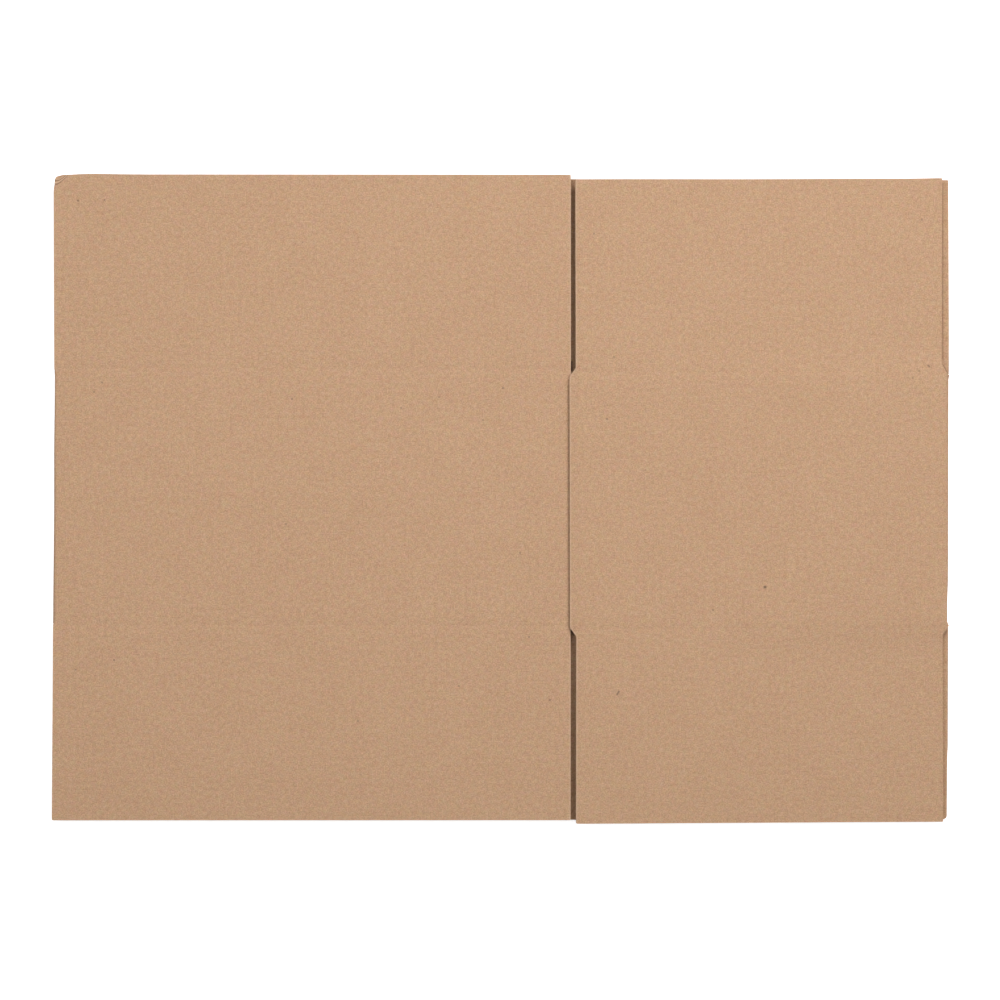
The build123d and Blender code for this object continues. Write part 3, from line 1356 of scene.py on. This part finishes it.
@dataclass(frozen=True)
class KraftPaper:
    """Unprinted kraft paper with fibres, clouding and dark flecks.

    Each spot of the paper is its two ends in the carton's own axes in metres, its radius and its
    strength. On the outer liner the spots are dark flecks, and on the inner liner they are painted
    shade where flaps rest and at the gap's ends. The creases of the knocked corner take painted shade
    in their valleys and painted highlight on their ridges, and the cut edges turn paler, partly from
    wear and partly as painted highlight.
    """

    name: str = "kraft_liner"
    colour: Colour = (0.556, 0.344, 0.209, 1.0)
    # Dark colour of chips and flecks, and of painted shade in the creases and on the inner liner.
    speck_and_shade: Colour = (0.16, 0.095, 0.06, 1.0)
    # Paler colour of worn cut edges, partly painted highlight, and of painted highlight on crease ridges.
    pale: Colour = (0.70, 0.50, 0.35, 1.0)
    surface: Surface = Surface(0.86, 0.25, 0.3, 0.00012)
    grain_tint: Triple = (0.83, 1.09, 1.40)
    grains: tuple[Grain, ...] = (
        Grain(1250.0, 1.0, 0.5, 0.80),
        Grain(420.0, 3.0, 0.7, 0.48),
        Grain(42.0, 4.0, 0.62, 0.10),
        Grain(9.0, 2.0, 0.5, 0.04),
    )
    hues: Grain = Grain(300.0, 3.0, 0.7)
    hue_depths: Triple = (0.25, 0.25, 0.35)
    flute_pitch: float = Board.pitch * MM
    # Flute lines: a faint tone that is partly painted shade of the washboard ripple.
    flute_tone_and_shade: float = 0.003
    chip_scale: float = 70.0
    chip_edge: Pair = (0.014, 0.04)
    chip_strength: float = 0.3
    spot_edge: Pair = (0.4, 1.3)
    # Cut edges turn paler: partly worn fibre, partly painted highlight where the edges catch the light.
    worn_and_highlight_at_gap: float = 0.38
    worn_and_highlight_at_rim: float = 0.08
    worn_and_highlight_zone: Pair = (0.0002, 0.0013)
    # Painted shade in the creases' valleys and painted highlight on their ridges.
    crease_painted_shade: float = 0.62
    crease_painted_highlight: float = 0.75
    knock: Knock | None = None
    spots: tuple = ()

    def shade(self, graph: Graph, sheet: Signal) -> Signal:
        """Lightness of the paper's grain about 0: its layers of fibres and clouds, and flute lines that
        are partly painted shade of the washboard ripple.

        Args:
            graph: The material's nodes.
            sheet: Places in the flat sheet, in metres.

        Returns:
            The lightness.
        """
        layers = [(graph.noise(sheet, grain) - 0.5) * grain.depth for grain in self.grains]
        phase = graph.axis(sheet, "X") * (2 * math.pi / self.flute_pitch)
        return sum(layers, graph.cosine(phase) * self.flute_tone_and_shade)

    def tone(self, graph: Graph, sheet: Signal, shade: Signal) -> Signal:
        """The paper's colour with its grain, before it is marked or worn.

        Args:
            graph: The material's nodes.
            sheet: Places in the flat sheet, in metres.
            shade: Lightness of the grain.

        Returns:
            The colour.
        """
        lightness = graph.vector("ADD", graph.scaled(self.grain_tint, shade), (1.0, 1.0, 1.0))
        spread = graph.vector("MULTIPLY", graph.noise(sheet, self.hues, "Color"), self.hue_depths)
        hue = graph.vector("ADD", spread, tuple(1 - depth / 2 for depth in self.hue_depths))
        return graph.vector("MULTIPLY", graph.vector("MULTIPLY", lightness, hue), self.colour[:3])

    def spot(self, graph: Graph, place: Signal, ends: tuple, radius: float) -> Signal:
        """Darkness of one mark, round or drawn out between its two ends.

        Args:
            graph: The material's nodes.
            place: Places on the carton.
            ends: The mark's two ends.
            radius: Its radius.

        Returns:
            1 in the mark's middle and 0 outside it.
        """
        start, end = Vector(ends[0]), Vector(ends[1])
        from_start = graph.vector("SUBTRACT", place, tuple(start))
        if (end - start).length > radius:
            along = (end - start) / (end - start).length_squared
            share = graph.at_least(graph.vector("DOT_PRODUCT", from_start, tuple(along)), 0.0)
            nearest = graph.scaled(tuple(end - start), graph.maths("MINIMUM", share, 1.0))
            from_start = graph.vector("SUBTRACT", from_start, nearest)
        inside, outside = self.spot_edge
        return 1.0 - graph.rise(graph.vector("LENGTH", from_start), inside * radius, outside * radius)

    def crease(self, graph: Graph, sheet: Signal) -> Signal:
        """The wave of the knocked corner's creases, only on the upper panel.

        Args:
            graph: The material's nodes.
            sheet: Places in the flat sheet, in metres.

        Returns:
            1 in a valley and -1 on a ridge.
        """
        run = graph.axis(sheet, "X") * (-1 / MM)
        height = graph.axis(sheet, "Y") * (1 / MM)
        wave, _ = self.knock.wave(graph, run, height, self.knock.painted_fade)
        return wave * graph.rise(run, *self.knock.painted_start)

    def material(self) -> bpy.types.Material:
        """Build the material.

        Returns:
            The material, ready for the carton's mesh.
        """
        graph = Graph(self.name)
        sheet = graph.attribute("sheet", "Vector")
        shade = self.shade(graph, sheet)
        colour = self.tone(graph, sheet, shade)
        cells = {"Vector": sheet, "Scale": self.chip_scale}
        from_chip = graph.node("ShaderNodeTexVoronoi", {"feature": "F1"}, cells, "Distance")
        dark = (1.0 - graph.rise(from_chip, *self.chip_edge)) * self.chip_strength
        place = graph.node("ShaderNodeTexCoord", {}, {}, "Object")
        # Dark spots: flecks on the outer liner, painted shade on the inner liner.
        for ends, radius, strength in self.spots:
            dark = graph.at_least(dark, self.spot(graph, place, ends, radius) * strength)
        colour = graph.mixed(dark, colour, self.speck_and_shade)
        # Paler cut edges, partly wear and partly painted highlight, strongest along the gap.
        for name, wear_and_highlight in (("gap_rim", self.worn_and_highlight_at_gap), ("rim", self.worn_and_highlight_at_rim)):
            worn = 1.0 - graph.rise(graph.attribute(name, "Fac"), *self.worn_and_highlight_zone)
            colour = graph.mixed(worn * wear_and_highlight, colour, self.pale)
        # Painted shade in the creases' valleys and painted highlight on their ridges.
        if self.knock:
            wave = self.crease(graph, sheet)
            colour = graph.mixed(graph.at_least(wave, 0.0) * self.crease_painted_shade, colour, self.speck_and_shade)
            colour = graph.mixed(graph.at_least(wave * -1, 0.0) * self.crease_painted_highlight, colour, self.pale)
        return graph.paper(colour, shade, self.surface)


@dataclass(frozen=True)
class RawEdge:
    """Cut paper edges and the waved medium inside the board."""

    name: str = "cut_board"
    colour: Colour = (0.40, 0.24, 0.14, 1.0)
    pale: Colour = (0.54, 0.35, 0.215, 1.0)
    surface: Surface = Surface(0.92, 0.2, 0.5, 0.0001)
    fibres: Grain = Grain(1400.0, 3.0, 0.65)
    drawn_out: Triple = (1.0, 1.0, 2.5)
    pale_from: Pair = (0.35, 0.7)

    def material(self) -> bpy.types.Material:
        """Build the material.

        Returns:
            The material, ready for the carton's mesh.
        """
        graph = Graph(self.name)
        place = graph.vector("MULTIPLY", graph.attribute("sheet", "Vector"), self.drawn_out)
        fibres = graph.noise(place, self.fibres)
        colour = graph.mixed(graph.rise(fibres, *self.pale_from), self.colour, self.pale)
        return graph.paper(colour, fibres, self.surface)


@dataclass(frozen=True)
class Lamp:
    """A square soft lamp that faces the middle of the carton."""

    name: str
    place: Triple
    power: float
    size: float = 0.9


@dataclass(frozen=True)
class Studio:
    """Plain pale floor, soft light from above and the camera over the carton."""

    camera_place: Triple = (-29.06, -8.38, 1500.0)
    pitch: float = math.radians(0.2931)
    yaw: float = math.radians(-1.0631)
    roll: float = math.radians(0.2124)
    lens: float = 88.34
    sensor: float = 36.0
    photo_pixels: float = 1000.0
    clip_end: float = 20.0
    floor_size: float = 6.0
    floor_drop: float = 0.0002
    floor_colour: Colour = (0.86, 0.86, 0.86, 1.0)
    floor_glow: float = 0.72
    sky: float = 0.03
    lamps: tuple[Lamp, ...] = (
        Lamp("left_softbox", (-0.6, 0.05, 1.1), 6.8),
        Lamp("right_softbox", (0.6, 0.03, 1.1), 5.8),
        Lamp("far_softbox", (0.6, 1.4, 1.1), 19.4),
    )

    def floor(self) -> bpy.types.Object:
        """Lay a wide white floor that keeps the carton's shadow.

        Returns:
            The floor.
        """
        mesh = bpy.data.meshes.new("floor")
        half, level = self.floor_size / 2, -self.floor_drop
        corners = [(x * half, y * half, level) for x, y in ((-1, -1), (1, -1), (1, 1), (-1, 1))]
        mesh.from_pydata(corners, [], [(0, 1, 2, 3)])
        graph = Graph("white_floor")
        matte = graph.node("ShaderNodeBsdfDiffuse", {}, {"Color": self.floor_colour})
        glow = graph.node("ShaderNodeEmission", {}, {"Strength": graph.shown() * self.floor_glow})
        mesh.materials.append(graph.finish(graph.node("ShaderNodeAddShader", {}, {0: matte, 1: glow})))
        return placed("floor", mesh)

    def lights(self) -> None:
        """Broad lamps on both sides and beyond the far side, with a faint sky."""
        world = bpy.data.worlds.new("studio")
        bpy.context.scene.world = world
        world.use_nodes = True
        background = world.node_tree.nodes["Background"]
        background.inputs["Color"].default_value = (1.0, 1.0, 1.0, 1.0)
        graph = Graph(world.name, world.node_tree)
        strength = graph.shown() * (1.0 - self.sky) + self.sky
        world.node_tree.links.new(strength.socket, background.inputs["Strength"])
        for lamp in self.lamps:
            data = bpy.data.lights.new(lamp.name, "AREA")
            data.shape = "SQUARE"
            data.size = lamp.size
            data.energy = lamp.power
            made = placed(lamp.name, data)
            made.location = lamp.place
            made.rotation_euler = (-made.location).to_track_quat("-Z", "Y").to_euler()

    def spots(self, carton: bpy.types.Object, marks: tuple[DarkMark, ...]) -> tuple:
        """Find where marks lie on the carton, by looking through the camera at their pixels.

        Args:
            carton: The finished carton.
            marks: The marks, with their pixels.

        Returns:
            Each mark's two ends and radius, in metres, and its strength.
        """
        bpy.context.view_layer.update()
        eye = [value * MM for value in self.camera_place]
        turn = Euler((self.pitch, self.yaw, self.roll)).to_matrix()
        found = []
        for mark in marks:
            ends = []
            for across, down in mark.ends():
                x, y = across / self.photo_pixels - 0.5, 0.5 - down / self.photo_pixels
                aim = turn @ Vector((x, y, -self.lens / self.sensor))
                hit, place, _, _ = carton.ray_cast(eye, aim.normalized())
                if hit:
                    ends.append(tuple(place))
            if len(ends) == 2:
                found.append((tuple(ends), mark.radius * MM, mark.strength))
        log.info("marks: %d of %d lie on the carton", len(found), len(marks))
        return tuple(found)

    def camera(self) -> None:
        """The camera, almost straight above the carton."""
        data = bpy.data.cameras.new("above")
        data.lens = self.lens
        data.sensor_width = self.sensor
        data.clip_end = self.clip_end
        camera = placed("above", data)
        camera.location = [value * MM for value in self.camera_place]
        camera.rotation_euler = (self.pitch, self.yaw, self.roll)
        bpy.context.scene.camera = camera
        bpy.context.scene.view_settings.view_transform = "Standard"


def main() -> None:
    """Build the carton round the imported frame."""
    logging.basicConfig(level=logging.INFO, format="%(name)s: %(message)s")
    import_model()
    studio = Studio()
    studio.camera()
    studio.lights()
    studio.floor()
    maker = Carton()
    carton = maker.build()
    # Painted shade for the inner liner, placed through the camera like the flecks.
    painted_shade_spots = studio.spots(carton, PAINTED_SHADE_MARKS)
    finishes = (
        KraftPaper(spots=studio.spots(carton, FLECKS), knock=maker.folding.knock),
        KraftPaper("kraft_inner_liner", colour=(0.54, 0.332, 0.199, 1.0), spots=painted_shade_spots),
        RawEdge(),
    )
    for finish in finishes:
        carton.data.materials.append(finish.material())
    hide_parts(NODE)
    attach(carton, BODY)
    log.info("%s: %d faces", carton.name, len(carton.data.polygons))


if __name__ == "__main__":
    main()
